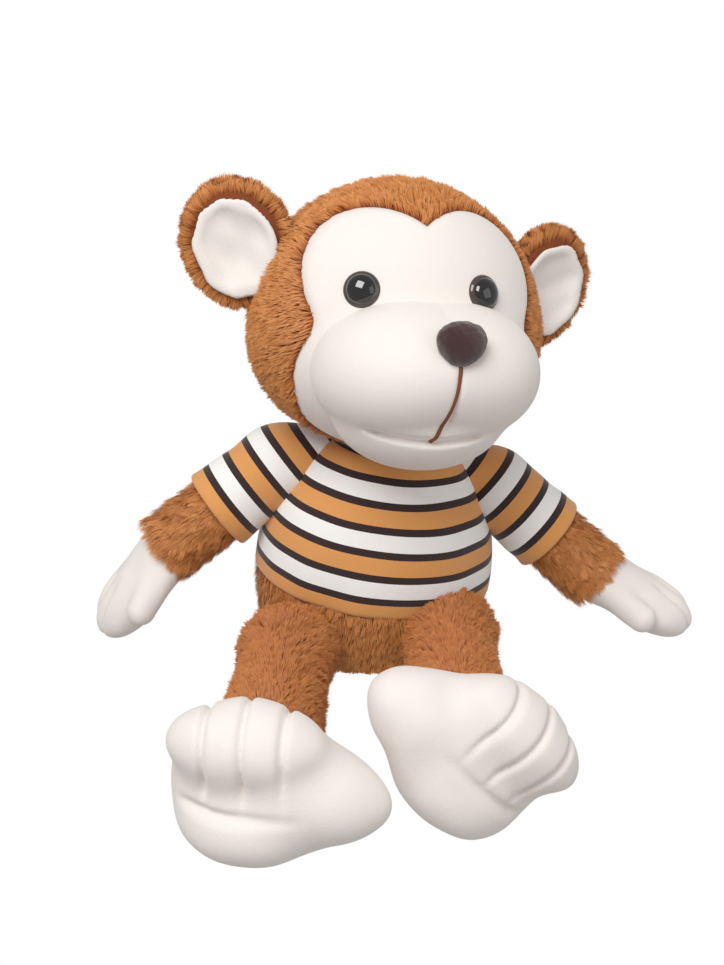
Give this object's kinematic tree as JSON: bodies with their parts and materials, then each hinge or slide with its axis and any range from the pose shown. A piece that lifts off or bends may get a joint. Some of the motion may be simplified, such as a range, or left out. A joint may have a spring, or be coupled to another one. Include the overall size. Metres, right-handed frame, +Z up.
{
  "type": "stuffed animal",
  "caption": "Seated plush monkey with long brown fur, cream face, hands and feet, and a striped short-sleeved shirt.",
  "frame": {"origin": "centre of the flat seat under the torso", "axes": "+Z up, the toy faces -Y, its own left side is +X"},
  "size_m": [0.2308, 0.1935, 0.1806],
  "materials": {
    "brown_fur": "long-pile plush",
    "cream_fleece": "short-pile fleece",
    "striped_knit": "printed velour knit, orange, white and dark stripes",
    "collar_knit": "ribbed knit",
    "stuffing": "polyester fibre",
    "nose_felt": "napped felt",
    "brown_thread": "embroidery thread",
    "cream_thread": "sewing thread",
    "eye_rim": "gloss",
    "eye_pupil": "high gloss",
    "washer_plastic": "moulded"
  },
  "bodies": {
    "torso": {"torso_casing": "brown_fur", "torso_stuffing": "stuffing", "shirt_front": "striped_knit", "shirt_back": "striped_knit", "shirt_collar": "collar_knit"},
    "neck": {"neck_stuffing": "stuffing"},
    "head": {"head_casing_left": "brown_fur", "head_casing_right": "brown_fur", "head_stuffing": "stuffing", "face_patch": "cream_fleece", "muzzle_casing": "cream_fleece", "chin_panel": "cream_fleece", "muzzle_stuffing": "stuffing", "nose": "nose_felt", "mouth_stitch": "brown_thread", "eye_rim_left": "eye_rim", "eye_pupil_left": "eye_pupil", "eye_washer_left": "washer_plastic", "eye_rim_right": "eye_rim", "eye_pupil_right": "eye_pupil", "eye_washer_right": "washer_plastic"},
    "ear_left": {"ear_back_left": "brown_fur", "ear_lining_left": "cream_fleece"},
    "arm_left": {"sleeve_left": "striped_knit", "arm_casing_left": "brown_fur", "arm_stuffing_left": "stuffing"},
    "hand_left": {"hand_casing_left": "cream_fleece", "hand_stuffing_left": "stuffing"},
    "leg_left": {"leg_casing_left": "brown_fur", "leg_stuffing_left": "stuffing"},
    "foot_left": {"foot_casing_left": "cream_fleece", "foot_stuffing_left": "stuffing", "toe_stitches_left": "cream_thread"},
    "ear_right": {"ear_back_right": "brown_fur", "ear_lining_right": "cream_fleece"},
    "arm_right": {"sleeve_right": "striped_knit", "arm_casing_right": "brown_fur", "arm_stuffing_right": "stuffing"},
    "hand_right": {"hand_casing_right": "cream_fleece", "hand_stuffing_right": "stuffing"},
    "leg_right": {"leg_casing_right": "brown_fur", "leg_stuffing_right": "stuffing"},
    "foot_right": {"foot_casing_right": "cream_fleece", "foot_stuffing_right": "stuffing", "toe_stitches_right": "cream_thread"}
  },
  "joints": [
    {"name": "neck_turn", "type": "hinge", "parent": "torso", "child": "neck", "pos_m": [0.00873, 0.00878, 0.08308], "axis": [0.104, 0.1045, 0.9891], "range_deg": [-40, 30], "stiffness_Nm_per_rad": 0.12},
    {"name": "neck_nod", "type": "hinge", "parent": "neck", "child": "head", "pos_m": [0.00873, 0.00878, 0.08308], "axis": [0.9703, 0.2419, 0], "range_deg": [-8, 14], "stiffness_Nm_per_rad": 0.5},
    {"name": "ear_left_fold", "type": "hinge", "parent": "head", "child": "ear_left", "pos_m": [0.05129, 0.01797, 0.13938], "axis": [0.0226, 0.3056, 0.9519], "range_deg": [-12, 12], "stiffness_Nm_per_rad": 0.004},
    {"name": "shoulder_left", "type": "hinge", "parent": "torso", "child": "arm_left", "pos_m": [0.04863, 0.0069, 0.06089], "axis": [0.2419, 0.9703, 0], "range_deg": [-45, 0], "stiffness_Nm_per_rad": 0.1},
    {"name": "wrist_left", "type": "hinge", "parent": "arm_left", "child": "hand_left", "pos_m": [0.08763, -0.00282, 0.02949], "axis": [0.2419, 0.9703, 0], "range_deg": [-16, 15], "stiffness_Nm_per_rad": 0.03},
    {"name": "hip_left", "type": "hinge", "parent": "torso", "child": "leg_left", "pos_m": [0.028, -0.027, 0.0215], "axis": [0.9998, -0.0174, 0], "range_deg": [-20, 30], "stiffness_Nm_per_rad": 0.15},
    {"name": "ankle_left", "type": "hinge", "parent": "leg_left", "child": "foot_left", "pos_m": [0.02669, -0.10195, 0.02386], "axis": [0.9998, -0.0174, 0], "range_deg": [-15, 15], "stiffness_Nm_per_rad": 0.06},
    {"name": "ear_right_fold", "type": "hinge", "parent": "head", "child": "ear_right", "pos_m": [-0.03791, 0.00199, 0.15923], "axis": [0.0226, 0.3056, 0.9519], "range_deg": [-12, 12], "stiffness_Nm_per_rad": 0.004},
    {"name": "shoulder_right", "type": "hinge", "parent": "torso", "child": "arm_right", "pos_m": [-0.03491, 0.0069, 0.06967], "axis": [0.2419, -0.9703, 0], "range_deg": [-45, 0], "stiffness_Nm_per_rad": 0.1},
    {"name": "wrist_right", "type": "hinge", "parent": "arm_right", "child": "hand_right", "pos_m": [-0.07494, -0.00308, 0.03969], "axis": [0.2419, -0.9703, 0], "range_deg": [-20, 12], "stiffness_Nm_per_rad": 0.03},
    {"name": "hip_right", "type": "hinge", "parent": "torso", "child": "leg_right", "pos_m": [-0.028, -0.041, 0.0215], "axis": [0.9877, -0.1564, 0], "range_deg": [-20, 30], "stiffness_Nm_per_rad": 0.15},
    {"name": "ankle_right", "type": "hinge", "parent": "leg_right", "child": "foot_right", "pos_m": [-0.03973, -0.11508, 0.0215], "axis": [0.9877, -0.1564, 0], "range_deg": [-15, 15], "stiffness_Nm_per_rad": 0.06}
  ]
}
